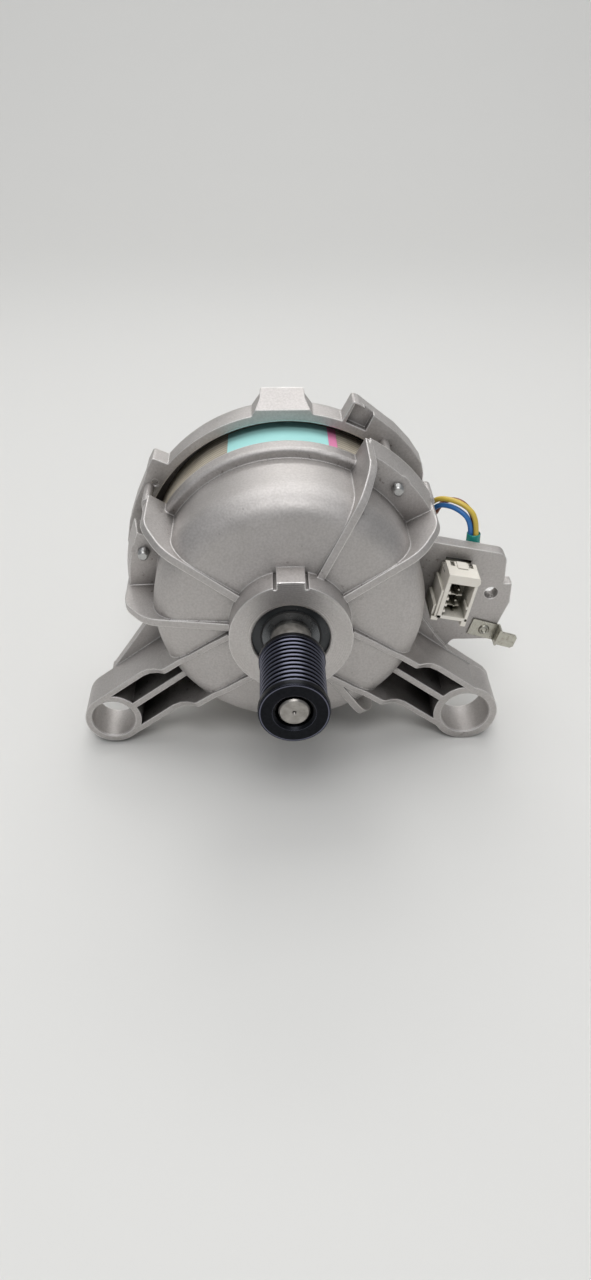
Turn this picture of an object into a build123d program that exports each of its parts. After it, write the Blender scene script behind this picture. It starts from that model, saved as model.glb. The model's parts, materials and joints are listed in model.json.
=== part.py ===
from build123d import *
import math
import os

# Washing machine motor with two cast end shields and a ribbed belt pulley.
# Millimetres, +Z up. The shaft lies along Y and its pulley end faces -Y.
# The origin is on the shaft axis at the middle of the pulley's belt track.
# Outlines of turned pieces are (radius, y) points, those of plates are (x, z) points.

# Clearances and cuts
overrun = 1.0
fit_gap = 0.05
seat_gap = 0.3

# Belt pulley
rib_count = 11
rib_pitch = 2.34
rib_crest_r = 11.65
groove_depth = 1.9
crest_flat = 0.7
groove_flat = 0.4
front_collar_r = 12.15
front_collar_length = 2.9
back_collar_r = 12.0
back_collar_length = 2.5
pulley_mouth_depth = 1.6
pulley_mouth_cone = 1.0
pulley_mouth_r = 6.9
pulley_chamfer = 0.5

# Shaft
shaft_end_r = 5.4
shaft_journal_r = 7.5
shaft_shoulder_r = 9.2
core_seat_r = 8.6
shaft_end_recess = 0.5
shaft_end_chamfer = 0.6
centre_drill_r = 0.8
centre_drill_depth = 0.9
tail_r = 3.6

# Front shield, places along the shaft are measured from the hub's front face
hub_face_y = 27.9
hub_r = 23.1
hub_height = 10.8
hub_mouth_r = 14.6
hub_mouth_chamfer = 0.5
hub_lip = 1.75
hub_tab_width = 10.4
hub_tab_rise = 1.4
hub_tab_depth = 2.0
boss_wall = 4.5
boss_tail = 1.6
casting_wall = 3.0
drum_step = 3.0
drum_corner_setback = 14.5
drum_shoulder = 12.0
rim_wall = 1.1
rim_setback = 43.7
rim_length = 6.8
rim_rounding = 1.6
register_depth = 3.0
stack_fit = 0.08
hub_groove_width = 1.2
hub_groove_depth = 1.0

# Ears of the shields
ear_angles = (45, 165, 285)
ear_half_span = 16.35
ear_reach = 9.7
ear_setback = 40.0
ear_taper = 2.0
fin_thickness = 3.0
fin_start_setback = 8.6
fin_knee_rise = 3.0
fin_knee_setback = 15.0
fin_crown_setback = 27.0
fin_inset = 0.8
fin_rounding = 15.0
fixing_reach = 3.1
ear_boss_r = 5.2
post_r = 1.9
near_post_angle = 7.6
near_post_inset = 2.6
far_post_angle = -15.4
far_post_inset = 1.5
notched_ears = (165, 285)
ear_notch_depth = 5.2
ear_notch_near = 7.0
ear_notch_far = 13.6

# Lug arms, the front edge of an arm's walls is (distance from the shaft, setback) points
lug_spacing = 146.5
lug_drop = 54.5
lug_bore_left_r = 8.75
lug_bore_right_r = 9.85
lug_wall_left = 2.85
lug_wall_right = 3.45
lug_mouth_chamfer = 0.5
arm_setback = 23.0
lug_length = 17.0
arm_wall = 2.3
arm_web = 2.6
arm_half_width_left = 11.6
arm_half_width_right = 12.2
arm_edge = [(21.0, 8.4), (31.0, 10.5), (39.0, 11.5), (46.0, 13.3), (54.5, 14.0),
            (58.8, 18.3), (63.0, 21.5), (67.0, 22.8)]
arm_edge_rounding = 3.0
arm_web_start = 50.0
arm_floor_start = 44.0
arm_floor_end = 84.0
floor_lap = 1.2
floor_thickness = 5.0

# Wings of the arms' floors, as (distance from the shaft, distance across) points
left_wing = [(57.0, 20.5), (70.6, 15.8), (83.0, 11.6)]
right_wing = [(50.0, 20.5), (66.0, 14.8), (74.0, 12.7), (94.6, 12.6), (98.1, 11.6)]

# Connector plate, its outline's x is measured outwards from the drum
plate_setback = 41.0
plate_thickness = 6.0
plate_root_x = -2.5
plate_top_root_z = 18.6
plate_top_z = 11.0
plate_top_x = 34.5
plate_side_x = 34.7
plate_tab_x = 37.9
plate_tab_top_z = -2.6
plate_tab_bottom_z = -11.4
plate_corner_x = 31.4
plate_bottom_z = -29.2
plate_notch_x = 15.9
plate_corner_rounding = 4.0
plate_notch_rounding = 2.2
plate_hole_r = 2.75
plate_hole_x = 29.8
plate_hole_z = -6.8

# Stator
window_length = 11.5
stack_r = 55.5
stack_bore_share = 0.54
back_iron = 9.4
slot_count = 24
slot_width = 5.2
slot_mouth = 2.0
slot_lip = 1.2
coil_margin = 0.45
coil_bore_step = 2.5
coil_outer_step = 9.5
front_coil_length = 20.0
rear_coil_length = 4.5
coil_bevel = 3.0
insulator_thickness = 1.2
insulator_collar = 3.6
collar_wall = 1.4

# Rotor
air_gap = 0.5
end_ring_length = 5.5
end_ring_wall = 11.0
cage_bar_count = 18
cage_bar_width = 2.6
cage_bar_depth = 5.4
cage_bar_inset = 1.0

# Front bearing 6202 and rear bearing 6201
front_race_r = 17.5
front_bearing_width = 11.0
front_ball_r = 2.98
front_ball_count = 8
rear_bore_r = 6.0
rear_race_r = 16.0
rear_bearing_width = 10.0
rear_ball_r = 2.95
rear_ball_count = 7
race_wall = 1.9
inner_race_wall = 3.4
raceway_share = 0.45
seal_thickness = 0.7
seal_inset = 0.35
seal_gap = 0.3
cage_half_width = 3.4
cage_wall = 0.8

# Rear shield, its ears' outlines are (reach beyond the rim, angle) points, and the top
# block's are (x, rise above the rim) points
rear_rim_wall = 3.5
rear_drum_length = 23.0
rear_mouth_gap = 4.0
rear_mouth_depth = 10.0
rear_register_depth = 4.0
rear_shoulder = 16.0
rear_cone_rise = 5.0
rear_hub_r = 22.4
rear_hub_length = 6.0
rear_hub_wall = 2.6
rear_shaft_hole_r = 8.0
rear_ledge = 5.5
rear_ear_length = 10.0
rear_ear_right = [(-3.0, 31.0), (0.6, 31.6), (2.6, 34.0), (4.4, 37.5), (5.3, 44.0),
                  (6.2, 52.0), (6.7, 59.0), (7.8, 64.0), (8.8, 67.2), (8.8, 69.2), (-3.0, 70.6)]
rear_ear_left = [(-3.0, 137.2), (6.3, 139.8), (5.4, 144.0), (4.0, 148.0),
                 (3.4, 157.0), (3.4, 165.0), (3.2, 173.0), (1.8, 178.0),
                 (-3.0, 178.6)]
rear_ear_rounding = 1.0
rear_recess_width = 8.2
rear_recess_height = 8.6
rear_recess_depth = 3.4
rear_recess_rise = 4.0
rear_recess_angle = 64.9
rear_hole_r = 1.5
rear_hole_depth = 6.0
rear_hole_rise = -0.4
rear_hole_angle = 147.0
block_foot = [(-14.2, -2.0), (-12.2, 0.9), (-10.4, 3.4), (-10.1, 5.9), (6.9, 5.9),
              (7.2, 3.4), (9.0, 0.9), (11.0, -2.0)]
block_rounding = 0.8
block_front_rise = 1.0
block_back_rise = 5.9
block_length = 11.0
rear_rib_count = 6
rear_rib_thickness = 2.4
rear_rib_height = 4.0
rear_rib_inset = 13.0

# Wave washer behind the rear bearing
wave_washer_thickness = 0.6
wave_height = 1.2
wave_count = 3
wave_pad_span = 24.0

# Through bolts, M4 with pan heads in counterbores behind the stator
bolt_r = 2.0
bolt_tip_reach = 3.8
bolt_tip_chamfer = 0.5
bolt_head_r = 3.9
bolt_head_height = 2.8
bolt_head_gap = 0.4
bolt_seat = 2.0
bolt_socket_r = 1.6
bolt_socket_depth = 1.6

# Speed sensor on the rear hub
magnet_r = 8.6
magnet_length = 7.0
sensor_gap = 0.8
sensor_coil_r = 14.0
sensor_coil_length = 6.6
cover_wall = 1.3
cover_r = 15.4
cover_length = 10.6
cover_rounding = 2.0
cover_lug_r = 3.6
cover_screw_angles = (0, 180)
cover_screw_circle_r = 18.6
cover_screw_r = 1.4
cover_screw_reach = 4.5
cover_screw_head_r = 2.6
cover_screw_head_height = 1.6
cover_flange_thickness = 2.0

# Connector on the plate, a 2.5 mm pitch header
connector_gap = 13.3
connector_z = -0.6
connector_tilt = 11.0
connector_width = 13.4
connector_height = 23.4
connector_reach = 15.0
connector_tail = 8.0
connector_tail_margin = 1.4
socket_width = 10.0
socket_height = 15.4
socket_drop = 1.6
socket_shift = 0.6
socket_depth = 12.0
connector_notch_count = 4
connector_pitch = 2.5
notch_size = 1.1
latch_width = 6.0
latch_slot = 1.9
latch_slot_depth = 3.0
foot_height = 4.6
foot_drop = 1.5
foot_width = 1.6
contact_count = 6
contact_width = 0.8
contact_thickness = 0.6
contact_reach = 7.5

# Earth terminal
earth_gap = 28.5
earth_z = -24.2
earth_tilt = 17.0
earth_pad_length = 12.0
earth_width = 7.6
earth_thickness = 0.8
earth_rise = 5.0
blade_length = 8.0
blade_width = 6.3
blade_chamfer = 1.0
earth_rivet_r = 1.5
earth_rivet_head_r = 2.3
earth_rivet_head = 0.9
earth_rivet_shank = 4.0

# Lead guide, a grommet in a notch of the rear rim
guide_angle = 18.3
guide_width = 14.0
guide_reach = 9.5
guide_inset = 0.6
guide_length = 7.0
guide_rounding = 1.2

# Leads, their routes' corners are (outwards from the rear rim, behind its front, z) points
# from the guide to the connector's tail
lead_r = 1.05
arc_share = 0.45
yellow_route = [(-4.6, 3.5, 21.4), (-1.4, -4.7, 28.6), (7.6, -8.7, 27.2),
                (12.7, -11.6, 22), (12.7, -11.6, 2.5), (5, -11.6, -3.3)]
blue_route = [(-3.6, 3.5, 18.2), (-1.4, -2.9, 24.6), (4.8, -7.5, 25),
              (10.6, -10.8, 20.6), (10.6, -10.8, 6.5), (3.9, -10.8, 1.5)]
red_route = [(-2.7, 3.5, 15), (1.6, -0.1, 21.6), (7, -5.2, 24.6),
             (12.35, -9.4, 20.2), (12.35, -9.4, 4.5), (4.9, -9.4, -1.1)]

# Sleeve that bundles the leads behind the plate
sleeve_x = 11.9
sleeve_y = -10.6
sleeve_top_z = 17.8
sleeve_length = 7.0
sleeve_bore_r = 2.5
sleeve_wall = 0.42

# Rating label
label_from_angle = 69.8
label_to_angle = 114.5
stripe_span = 3.6
label_thickness = 0.15
label_margin = 0.4
label_length = 19.4

# Radii that follow the stator
stack_bore_r = stack_bore_share * stack_r
slot_depth = stack_r - back_iron - slot_lip - stack_bore_r
coil_inner_r = stack_bore_r + coil_bore_step
coil_outer_r = stack_r - coil_outer_step
drum_r = stack_r - drum_step
rim_r = stack_r + rim_wall
ear_r = stack_r + ear_reach
fin_knee_r = drum_r + fin_knee_rise
fixing_circle_r = stack_r + fixing_reach
rear_mouth_r = stack_r + rear_mouth_gap
rear_rim_r = rear_mouth_r + rear_rim_wall
rear_cavity_r = stack_r - rear_ledge
connector_x = drum_r + connector_gap
earth_x = drum_r + earth_gap

# Places along the shaft that several pieces share
track_half = rib_count * rib_pitch / 2
pulley_front_y = -track_half - front_collar_length
pulley_back_y = track_half + back_collar_length
boss_rear_y = hub_face_y + hub_lip + front_bearing_width + boss_tail
dome_y = hub_face_y + hub_height
drum_corner_y = hub_face_y + drum_corner_setback
arm_front_y = hub_face_y + arm_setback
flange_front_y = hub_face_y + ear_setback
floor_rear_y = flange_front_y + floor_thickness
plate_front_y = hub_face_y + plate_setback
plate_rear_y = plate_front_y + plate_thickness
rim_front_y = hub_face_y + rim_setback
rim_rear_y = rim_front_y + rim_length
stack_front_y = rim_rear_y - register_depth
rear_rim_front_y = rim_rear_y + window_length
rear_ear_rear_y = rear_rim_front_y + rear_ear_length
rear_mouth_y = rear_rim_front_y + rear_mouth_depth
stack_rear_y = rear_mouth_y + rear_register_depth
bolt_head_y = stack_rear_y + bolt_seat
rear_corner_y = rear_rim_front_y + rear_drum_length
rear_cone_y = rear_corner_y + rear_cone_rise
rear_hub_y = rear_cone_y + rear_hub_length
front_bearing_y = hub_face_y + hub_lip
rear_bearing_y = rear_hub_y - rear_hub_wall - wave_height - rear_bearing_width
magnet_y = rear_hub_y + sensor_gap
shaft_tail_y = magnet_y + magnet_length + sensor_gap

# Lug arm directions, the right arm's centre line runs from the shaft to its lug
lug_x = lug_spacing / 2
lug_distance = math.hypot(lug_x, lug_drop)
arm_cos = lug_x / lug_distance
arm_sin = lug_drop / lug_distance
arm_angle = -math.degrees(math.atan2(lug_drop, lug_x))


# Helpers
def turned(points, radii=0):
    """A solid of revolution about the shaft axis, with a rounding for each corner."""
    outline = FilletPolyline(*points, radius=radii, close=True)
    return revolve(make_face(outline), axis=Axis.Y)


def tube(outer_r, inner_r, y_front, y_rear):
    """A plain ring or, with no inner radius, a disc on the shaft axis."""
    if inner_r == 0:
        return turned([(0, y_front), (outer_r, y_front), (outer_r, y_rear), (0, y_rear)])
    return turned([(inner_r, y_front), (outer_r, y_front), (outer_r, y_rear), (inner_r, y_rear)])


def plate(face, y_front, y_rear):
    """An (x, z) face drawn out along the shaft between two places."""
    return extrude(Plane((0, y_rear, 0), x_dir=(1, 0, 0), z_dir=(0, -1, 0)) * face, y_rear - y_front)


def outline_face(points, radii=0):
    """A closed face through points, with a rounding for each corner."""
    return make_face(FilletPolyline(*points, radius=radii, close=True))


def pin(x, z, radius, y_front, y_rear):
    """A round bar along the shaft direction."""
    return plate(Pos(x, z) * Circle(radius), y_front, y_rear)


def polar(radius, angle):
    """The (x, z) point at a radius and an angle in degrees above +X."""
    return (radius * math.cos(math.radians(angle)), radius * math.sin(math.radians(angle)))


def sector(radius, angle, half_span):
    """A round sector centred on an angle, for ears and labels."""
    far = radius / math.cos(math.radians(half_span))
    wedge = make_face(Polyline((0, 0), polar(far, angle - half_span),
                               polar(far, angle + half_span), close=True))
    return wedge & Circle(radius)


def radial_wall(angle, offset, thickness, points, radii=0):
    """A wall that stands along a radial direction, from (radius, y) points."""
    turn = math.radians(angle)
    across = (-math.sin(turn), 0, math.cos(turn))
    along = (math.cos(turn), 0, math.sin(turn))
    middle = [c * (offset + thickness / 2) for c in across]
    side = Plane(middle, x_dir=along, z_dir=[-c for c in across])
    flipped = [(r, -y) for r, y in points]
    return extrude(side * outline_face(flipped, radii), thickness)


def arm_point(along, across):
    """The (x, z) point at a place along the right arm's centre line and across it."""
    return (along * arm_cos + across * arm_sin, across * arm_cos - along * arm_sin)


def mouth_cone(radius, y, size):
    """The cone that breaks the front edge of a hole on the shaft axis."""
    return turned([(0, y - overrun), (radius + size + overrun, y - overrun),
                   (radius, y + size), (0, y + size)])


def around(count):
    """Equal turns about the shaft axis."""
    return [i * 360 / count for i in range(count)]


# Pulley
def make_pulley():
    mouth_y = pulley_front_y + pulley_mouth_depth
    points = [(shaft_end_r + fit_gap, mouth_y + pulley_mouth_cone),
              (pulley_mouth_r, mouth_y),
              (pulley_mouth_r, pulley_front_y),
              (front_collar_r - pulley_chamfer, pulley_front_y),
              (front_collar_r, pulley_front_y + pulley_chamfer),
              (front_collar_r, -track_half)]
    root_r = rib_crest_r - groove_depth
    for i in range(rib_count):
        y = -track_half + rib_pitch * (i + 0.5)
        points += [(root_r, y - rib_pitch / 2 + groove_flat / 2),
                   (rib_crest_r, y - crest_flat / 2),
                   (rib_crest_r, y + crest_flat / 2),
                   (root_r, y + rib_pitch / 2 - groove_flat / 2)]
    points += [(back_collar_r, track_half),
               (back_collar_r, pulley_back_y - pulley_chamfer),
               (back_collar_r - pulley_chamfer, pulley_back_y),
               (shaft_end_r + fit_gap, pulley_back_y)]
    return turned(points)


# Shaft
def make_shaft():
    front = pulley_front_y + shaft_end_recess
    core_rear = stack_rear_y + end_ring_length
    points = [(0, front),
              (shaft_end_r - shaft_end_chamfer, front),
              (shaft_end_r, front + shaft_end_chamfer),
              (shaft_end_r, pulley_back_y),
              (shaft_journal_r, pulley_back_y),
              (shaft_journal_r, front_bearing_y + front_bearing_width),
              (shaft_shoulder_r, front_bearing_y + front_bearing_width),
              (shaft_shoulder_r, stack_front_y - end_ring_length),
              (core_seat_r, stack_front_y - end_ring_length),
              (core_seat_r, core_rear),
              (shaft_journal_r, core_rear),
              (shaft_journal_r, rear_bearing_y),
              (rear_bore_r, rear_bearing_y),
              (rear_bore_r, rear_hub_y),
              (tail_r, rear_hub_y),
              (tail_r, shaft_tail_y),
              (0, shaft_tail_y)]
    drill = turned([(0, front - overrun), (centre_drill_r, front - overrun),
                    (centre_drill_r, front), (0, front + centre_drill_depth)])
    return turned(points) - drill


# Bearings
def make_bearing(bore_r, race_r, width, y, ball_r, ball_count):
    """The races, seals, balls and cage of one deep groove ball bearing."""
    pitch_r = (bore_r + race_r) / 2
    way_r = ball_r + fit_gap
    middle = y + width / 2
    way = Pos(0, middle, 0) * Rot(90, 0, 0) * Torus(pitch_r, way_r)
    shoulder = ball_r * raceway_share
    inner = tube(pitch_r - shoulder, bore_r, y, y + width)
    step = seal_thickness + 2 * seal_inset
    inner_cut = tube(pitch_r, bore_r + inner_race_wall, y - overrun, y + step)
    inner_cut += tube(pitch_r, bore_r + inner_race_wall, y + width - step, y + width + overrun)
    inner = inner - inner_cut - way
    outer = tube(race_r, pitch_r + shoulder, y, y + width)
    outer_cut = tube(race_r - race_wall, pitch_r, y - overrun, y + step)
    outer_cut += tube(race_r - race_wall, pitch_r, y + width - step, y + width + overrun)
    outer = outer - outer_cut - way
    seal_in = bore_r + inner_race_wall + seal_gap
    seal_out = race_r - race_wall
    seals = []
    for start in (y + seal_inset, y + width - seal_inset - seal_thickness):
        seals.append(tube(seal_out, seal_in, start, start + seal_thickness))
    balls = []
    for angle in around(ball_count):
        x, z = polar(pitch_r, angle)
        balls.append(Pos(x, middle, z) * Sphere(ball_r))
    cage = tube(pitch_r + cage_wall, pitch_r - cage_wall, middle - cage_half_width,
                middle + cage_half_width)
    for angle in around(ball_count):
        x, z = polar(pitch_r, angle)
        pocket = Rot(0, 90 - angle, 0) * Cylinder(way_r, 4 * cage_wall)
        cage -= Pos(x, middle, z) * pocket
    return inner, outer, seals, balls, cage


# Front shield
def make_drum(extra):
    """The front shield's bell, with its outside moved outwards by extra."""
    points = [(0, dome_y - extra), (hub_r, dome_y - extra),
              (drum_r + extra, drum_corner_y - extra),
              (drum_r + extra, rim_rear_y), (0, rim_rear_y)]
    return turned(points, [0, 0, drum_shoulder + extra, 0, 0])


def make_front_cavity():
    """The space inside the front shield, behind its bearing boss."""
    inside_r = drum_r - casting_wall
    boss_r = front_race_r + boss_wall
    points = [(0, boss_rear_y),
              (boss_r, boss_rear_y),
              (boss_r + casting_wall, drum_corner_y + casting_wall),
              (inside_r, drum_corner_y + casting_wall),
              (inside_r, stack_front_y),
              (stack_r + stack_fit, stack_front_y),
              (stack_r + stack_fit, rim_rear_y + overrun),
              (0, rim_rear_y + overrun)]
    return turned(points, [0, 0, 0, drum_shoulder - casting_wall, 0, 0, 0, 0])


def make_ear(angle):
    """One ear: a thick flange between two tall fins, with its bolt boss, posts and notch."""
    taper = turned([(0, flange_front_y), (ear_r - ear_taper, flange_front_y),
                    (ear_r, rim_rear_y), (0, rim_rear_y)])
    ear = plate(sector(ear_r, angle, ear_half_span), flange_front_y, rim_rear_y) & taper
    if angle in notched_ears:
        notch_angle = angle - (ear_notch_near + ear_notch_far) / 2
        notch = sector(ear_r + overrun, notch_angle, (ear_notch_far - ear_notch_near) / 2)
        notch -= Circle(ear_r - ear_notch_depth)
        ear -= plate(notch, flange_front_y - overrun, rim_rear_y + overrun)
    fin_r = ear_r - fin_inset
    fin = [(hub_r - fin_thickness, hub_face_y + fin_start_setback),
           (fin_knee_r, hub_face_y + fin_knee_setback),
           (fin_r, hub_face_y + fin_crown_setback),
           (fin_r, rim_rear_y),
           (hub_r - fin_thickness, rim_rear_y)]
    for turn in (-ear_half_span, ear_half_span):
        ear += radial_wall(angle + turn, 0, fin_thickness, fin, [0, fin_rounding, fin_rounding, 0, 0])
    x, z = polar(fixing_circle_r, angle)
    ear += pin(x, z, ear_boss_r, flange_front_y, rim_rear_y)
    for turn, inset in ((near_post_angle, near_post_inset), (far_post_angle, far_post_inset)):
        x, z = polar(ear_r - inset, angle + turn)
        ear += pin(x, z, post_r, rim_rear_y - register_depth, rear_rim_front_y)
    return ear


def make_arm(bore_r, lug_r, half_width, wing):
    """The right arm: two straight walls, a web and a winged floor that hold the lug."""
    front = arm_front_y - hub_face_y
    edge = arm_edge + [(lug_distance, front), (lug_distance, front + lug_length),
                       (arm_floor_end, front + lug_length),
                       (arm_floor_end, ear_setback + floor_thickness),
                       (arm_edge[0][0], ear_setback + floor_thickness)]
    points = [(along, hub_face_y + setback) for along, setback in edge]
    rounding = [0] + [arm_edge_rounding] * (len(arm_edge) - 1)
    rounding += [0] * (len(points) - len(rounding))
    lug_x_z = arm_point(lug_distance, 0)
    lug_rear_y = arm_front_y + lug_length
    arm = pin(*lug_x_z, lug_r, arm_front_y, lug_rear_y)
    for side in (-1, 1):
        arm += radial_wall(arm_angle, side * (half_width - arm_wall / 2), arm_wall, points, rounding)
    floor_end = lug_distance - lug_r + floor_lap
    web = [(arm_web_start, arm_front_y), (lug_distance, arm_front_y), (lug_distance, lug_rear_y),
           (floor_end, lug_rear_y), (floor_end, floor_rear_y), (arm_web_start, floor_rear_y)]
    arm += radial_wall(arm_angle, 0, arm_web, web)
    floor = [(arm_floor_start, -lug_r), (arm_floor_end, -lug_r), (lug_distance, 0)]
    floor += wing[::-1] + [(arm_floor_start, wing[0][1])]
    arm += plate(make_face(Polyline(*[arm_point(*p) for p in floor], close=True)),
                 flange_front_y, floor_rear_y) - \
        pin(*lug_x_z, lug_r - floor_lap, flange_front_y - overrun, floor_rear_y + overrun)
    arm -= pin(*lug_x_z, bore_r, arm_front_y - overrun, floor_rear_y + overrun)
    x, z = lug_x_z
    return arm - Pos(x, 0, z) * mouth_cone(bore_r, arm_front_y, lug_mouth_chamfer)


def make_front_shield():
    shield = make_drum(0) + tube(hub_r, 0, hub_face_y, dome_y + casting_wall)
    shield += turned([(drum_r - casting_wall, rim_front_y), (rim_r, rim_front_y),
                      (rim_r, rim_rear_y), (drum_r - casting_wall, rim_rear_y)],
                     [0, rim_rounding, 0, 0])
    for angle in ear_angles:
        shield += make_ear(angle)
    lug_left_r = lug_bore_left_r + lug_wall_left
    lug_right_r = lug_bore_right_r + lug_wall_right
    right = make_arm(lug_bore_right_r, lug_right_r, arm_half_width_right, right_wing)
    left = make_arm(lug_bore_left_r, lug_left_r, arm_half_width_left, left_wing)
    shield = shield + right + mirror(left, about=Plane.YZ) + make_connector_plate()
    shield = shield + make_hub_tab() - make_front_cavity()
    shield -= tube(front_race_r, 0, front_bearing_y, boss_rear_y + overrun)
    shield -= tube(hub_mouth_r, 0, hub_face_y - overrun, front_bearing_y + overrun)
    shield -= mouth_cone(hub_mouth_r, hub_face_y, hub_mouth_chamfer)
    groove = Rectangle(hub_groove_width, 2 * hub_groove_depth)
    for side in (-1, 1):
        x = side * (hub_tab_width + hub_groove_width) / 2
        z = math.sqrt(hub_r ** 2 - x ** 2)
        shield -= plate(Pos(x, z) * groove, hub_face_y - overrun, dome_y)
    for angle in ear_angles:
        x, z = polar(fixing_circle_r, angle)
        shield -= pin(x, z, bolt_r, flange_front_y - overrun, rim_rear_y + overrun)
    return shield - rivet_shank(earth_rivet_r)


def make_connector_plate():
    """The plate beside the right arm, with the connector's slot and a hole."""
    outline = [(plate_root_x, plate_top_root_z), (plate_top_x, plate_top_z),
               (plate_side_x, plate_tab_top_z), (plate_tab_x, plate_tab_top_z),
               (plate_tab_x, plate_tab_bottom_z),
               (plate_corner_x, plate_bottom_z), (plate_notch_x, plate_bottom_z),
               (plate_root_x, -lug_drop)]
    outline = [(drum_r + x, z) for x, z in outline]
    face = outline_face(outline, [0, plate_corner_rounding, 0, 0, 0, 0, plate_notch_rounding, 0])
    face -= Pos(drum_r + plate_hole_x, plate_hole_z) * Circle(plate_hole_r)
    slot = Rectangle(connector_width - 2 * connector_tail_margin,
                     connector_height - 2 * connector_tail_margin)
    face -= Pos(connector_x, connector_z) * Rot(0, 0, -connector_tilt) * slot
    return plate(face, plate_front_y, plate_rear_y)


def make_hub_tab():
    """The raised flat on top of the hub, between two shallow grooves."""
    half = hub_tab_width / 2
    foot = hub_r - hub_tab_depth
    face = outline_face([(-half, foot), (half, foot), (half, hub_r + hub_tab_rise),
                         (-half, hub_r + hub_tab_rise)])
    return plate(face, hub_face_y, dome_y)


# Rear shield
def make_rear_shield():
    shield = turned([(0, rear_rim_front_y), (rear_rim_r, rear_rim_front_y),
                     (rear_rim_r, rear_corner_y), (rear_hub_r, rear_cone_y),
                     (rear_hub_r, rear_hub_y), (0, rear_hub_y)],
                    [0, 0, rear_shoulder, 0, 0, 0])
    for outline in (rear_ear_right, rear_ear_left, third_ear()):
        face = outline_face([polar(rear_rim_r + reach, angle) for reach, angle in outline],
                            rear_ear_rounding)
        shield += plate(face, rear_rim_front_y, rear_ear_rear_y)
    shield += make_top_block()
    reach = rear_rim_r - rear_rib_inset
    rib = [(rear_hub_r - rear_rib_thickness, rear_cone_y + rear_rib_height),
           (reach, rear_corner_y), (reach, rear_corner_y - rear_rib_height),
           (rear_hub_r - rear_rib_thickness, rear_corner_y - rear_rib_height)]
    for turn in around(rear_rib_count):
        shield += radial_wall(turn + ear_angles[0], 0, rear_rib_thickness, rib)
    shield -= make_rear_cavity()
    for angle in ear_angles:
        shield += make_bolt_boss(angle)
    seat_rear_y = rear_hub_y - rear_hub_wall
    shield -= tube(rear_race_r, 0, rear_bearing_y - overrun, seat_rear_y)
    shield -= tube(rear_shaft_hole_r, 0, seat_rear_y - overrun, rear_hub_y + overrun)
    for angle in ear_angles:
        x, z = polar(fixing_circle_r, angle)
        shield -= pin(x, z, bolt_r, rear_rim_front_y - overrun, bolt_head_y + overrun)
        shield -= pin(x, z, bolt_head_r + bolt_head_gap, bolt_head_y, rear_hub_y)
    for angle in cover_screw_angles:
        x, z = polar(cover_screw_circle_r, angle)
        shield -= pin(x, z, cover_screw_r, rear_hub_y - cover_screw_reach, rear_hub_y + overrun)
    recess = Rectangle(rear_recess_width, rear_recess_height)
    middle = polar(rear_rim_r + rear_recess_rise, rear_recess_angle)
    placed = Pos(*middle) * Rot(0, 0, rear_recess_angle) * recess
    shield -= plate(placed, rear_rim_front_y - overrun, rear_rim_front_y + rear_recess_depth)
    x, z = polar(rear_rim_r + rear_hole_rise, rear_hole_angle)
    shield -= pin(x, z, rear_hole_r, rear_rim_front_y - overrun, rear_rim_front_y + rear_hole_depth)
    return shield - guide_block()


def make_rear_cavity():
    """The deep mouth round the stator, its register and the space behind it."""
    boss_r = rear_race_r + boss_wall
    return turned([(0, rear_rim_front_y - overrun), (rear_mouth_r, rear_rim_front_y - overrun),
                   (rear_mouth_r, rear_mouth_y), (stack_r, rear_mouth_y),
                   (stack_r, stack_rear_y), (rear_cavity_r, stack_rear_y),
                   (rear_cavity_r, rear_corner_y - casting_wall),
                   (boss_r, rear_cone_y - casting_wall),
                   (boss_r, rear_bearing_y), (0, rear_bearing_y)])


def make_bolt_boss(angle):
    """A boss for one through bolt, hollowed where the stator passes."""
    x, z = polar(fixing_circle_r, angle)
    boss = pin(x, z, ear_boss_r, rear_rim_front_y, bolt_head_y)
    return boss - tube(stack_r, 0, rear_rim_front_y - overrun, stack_rear_y)


def third_ear():
    """The lowest ear's outline, the left one turned on to the third bolt."""
    turn = ear_angles[2] - ear_angles[1]
    return [(r, angle + turn) for r, angle in rear_ear_left]


def make_top_block():
    """The ramped block on top of the rear shield."""
    foot = [(x, rear_rim_r + rise) for x, rise in block_foot]
    rear_y = rear_rim_front_y + block_length
    block = plate(outline_face(foot, block_rounding), rear_rim_front_y, rear_y)
    front_z = rear_rim_r + block_front_rise
    back_z = rear_rim_r + block_back_rise
    ramp = [(front_z, rear_rim_front_y), (back_z, rear_y), (back_z + overrun, rear_y),
            (back_z + overrun, rear_rim_front_y - overrun), (front_z, rear_rim_front_y - overrun)]
    return block - radial_wall(90, 0, rear_rim_r, ramp)


def guide_block():
    """The lead guide's body, which also cuts its notch in the rear rim."""
    face = Pos(*polar(rear_rim_r - guide_inset, guide_angle)) * Rot(0, 0, guide_angle) * \
        RectangleRounded(guide_reach, guide_width, guide_rounding)
    return plate(face, rear_rim_front_y, rear_rim_front_y + guide_length)


# Stator
def slot_face(angle, margin):
    """One stator slot in (x, z), made smaller all round by a margin."""
    half = slot_width / 2 - margin
    bottom = stack_bore_r + slot_lip + margin
    top = stack_bore_r + slot_lip + slot_depth - margin
    face = Pos((bottom + top) / 2, 0) * Rectangle(top - bottom, 2 * half)
    return Rot(0, 0, angle) * face


def make_stack():
    face = Circle(stack_r) - Circle(stack_bore_r)
    for angle in around(slot_count):
        face -= slot_face(angle, 0)
        mouth = Pos(stack_bore_r, 0) * Rectangle(4 * slot_lip, slot_mouth)
        face -= Rot(0, 0, angle) * mouth
    return plate(face, stack_front_y, stack_rear_y)


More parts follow.
